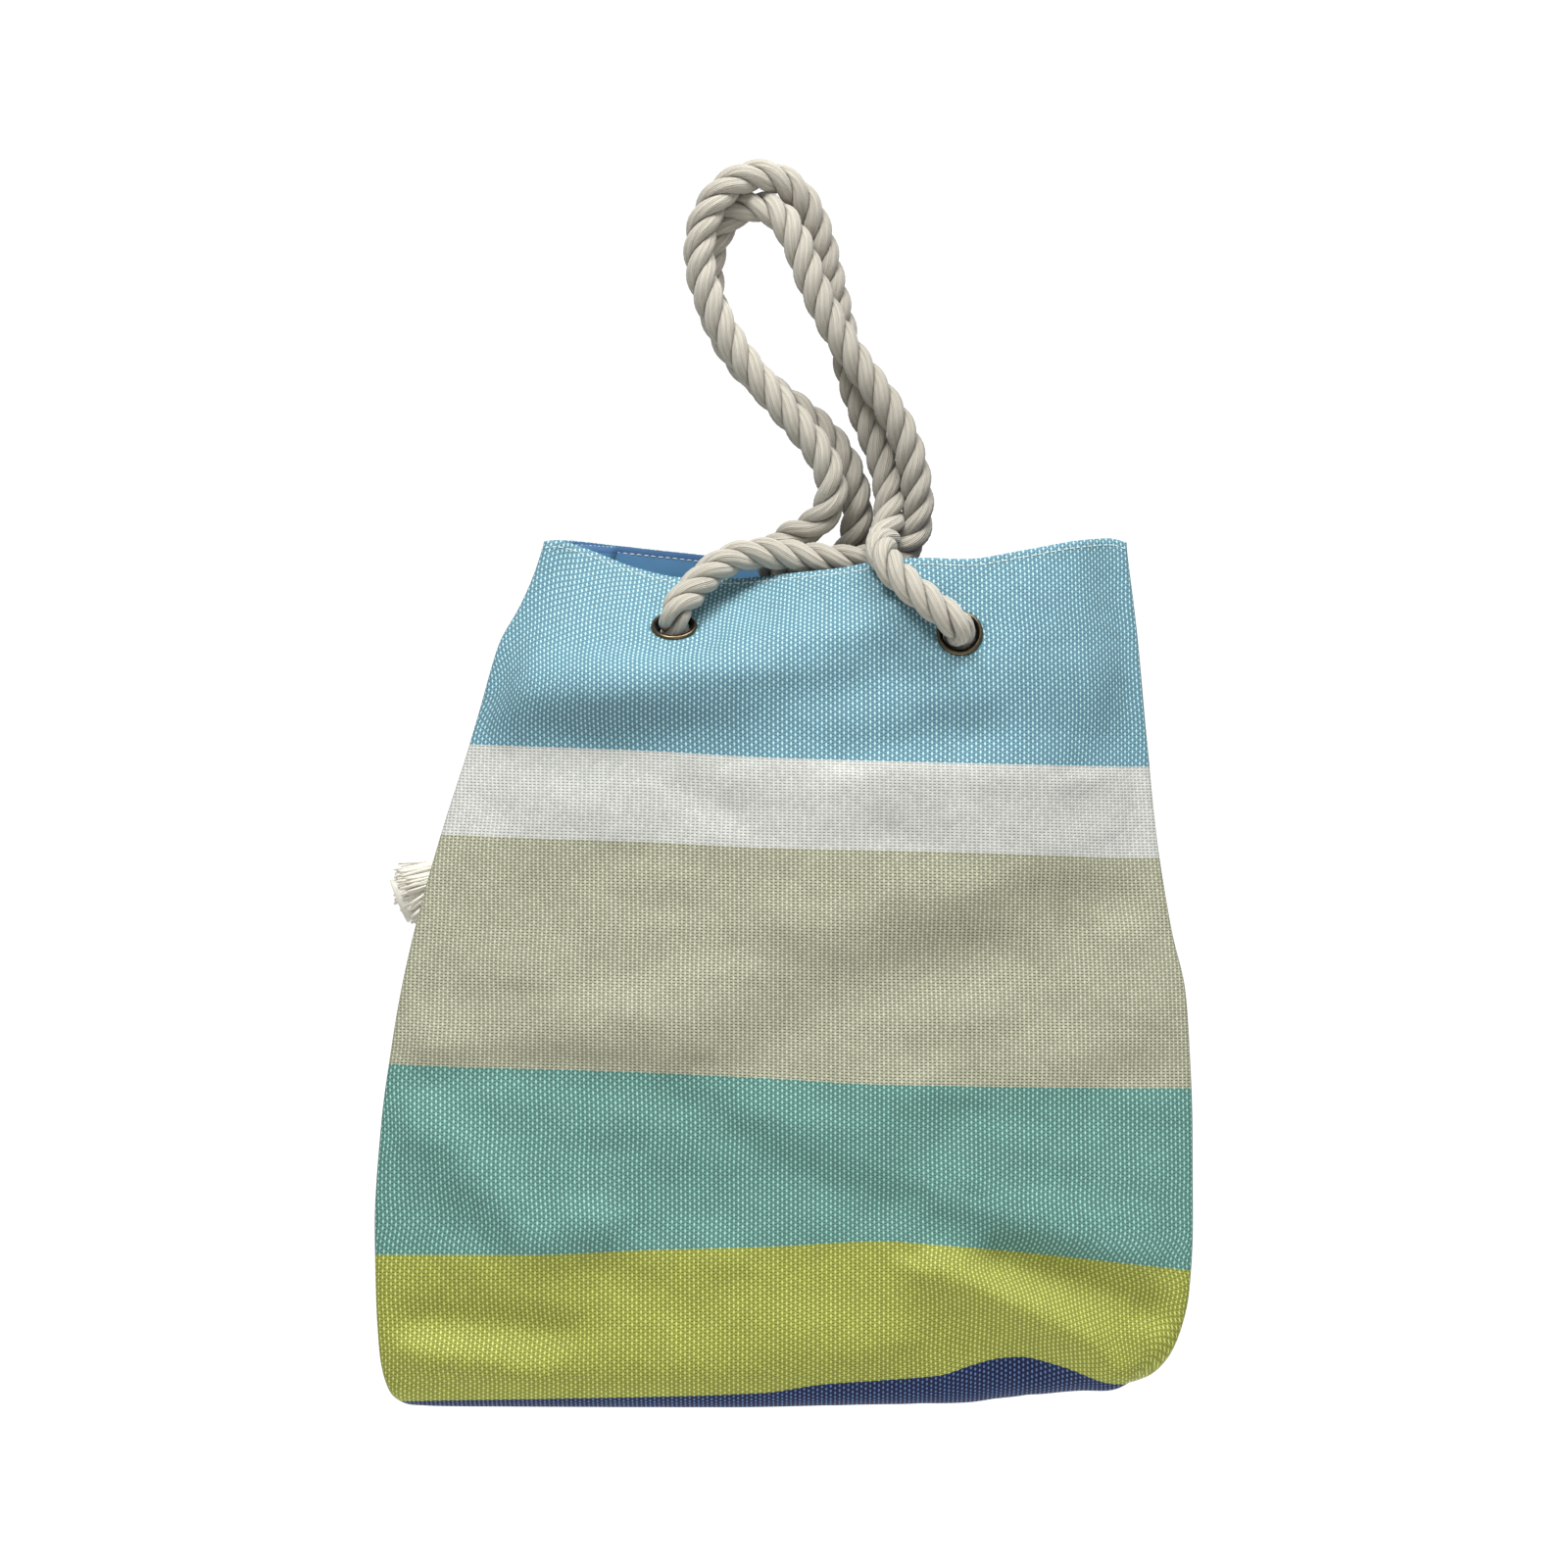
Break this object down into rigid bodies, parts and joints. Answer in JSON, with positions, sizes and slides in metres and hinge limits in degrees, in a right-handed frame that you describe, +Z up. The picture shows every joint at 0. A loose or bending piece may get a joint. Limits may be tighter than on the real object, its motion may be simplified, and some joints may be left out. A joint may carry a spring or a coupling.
{
  "type": "beach bag",
  "caption": "Striped cloth beach bag with boxed base, four metal eyelets and one twisted rope handle that hangs it from a hook.",
  "frame": {"origin": "the point where the rope rests on a hook, under the inner turn of the loop", "axes": "+Z up, +X to the right of someone facing the bag, -Y towards that person, +Y towards the wall that the bag hangs on"},
  "size_m": [0.368, 0.1404, 0.5607],
  "materials": {
    "cloth": "coarse plain weave in six stripes",
    "lining": "smooth fine lining cloth",
    "rope_cotton": "natural cotton, three-strand twist, matt and slightly hairy",
    "eyelet_brass": "antique dark brass, satin, worn brighter on the rim"
  },
  "bodies": {
    "bag": {"front_panel": "cloth", "back_panel": "cloth", "base_panel": "cloth", "front_lining": "lining", "back_lining": "lining", "base_lining": "lining", "front_left_eyelet": "eyelet_brass", "front_left_washer": "eyelet_brass", "front_right_eyelet": "eyelet_brass", "front_right_washer": "eyelet_brass", "back_left_eyelet": "eyelet_brass", "back_left_washer": "eyelet_brass", "back_right_eyelet": "eyelet_brass", "back_right_washer": "eyelet_brass", "rope_inner_left": "rope_cotton", "rope_inner_right": "rope_cotton", "left_knot": "rope_cotton", "right_knot": "rope_cotton"},
    "handle": {"rope_handle": "rope_cotton"},
    "left_tail": {"left_rope_tail": "rope_cotton", "left_tassel": "rope_cotton"},
    "right_tail": {"right_rope_tail": "rope_cotton", "right_tassel": "rope_cotton"}
  },
  "joints": [
    {"name": "handle_swing", "type": "hinge", "parent": "bag", "child": "handle", "pos_m": [-0.0352, -0.03766, -0.17271], "axis": [0.9883, -0.1409, -0.0581], "range_deg": [0, 130]},
    {"name": "left_tail_swing", "type": "hinge", "parent": "bag", "child": "left_tail", "pos_m": [-0.0352, 0.0444, -0.1795], "axis": [0, 1, 0], "range_deg": [-55, 40]},
    {"name": "right_tail_swing", "type": "hinge", "parent": "bag", "child": "right_tail", "pos_m": [0.0924, 0.0444, -0.183], "axis": [0, 1, 0], "range_deg": [-50, 12]}
  ]
}
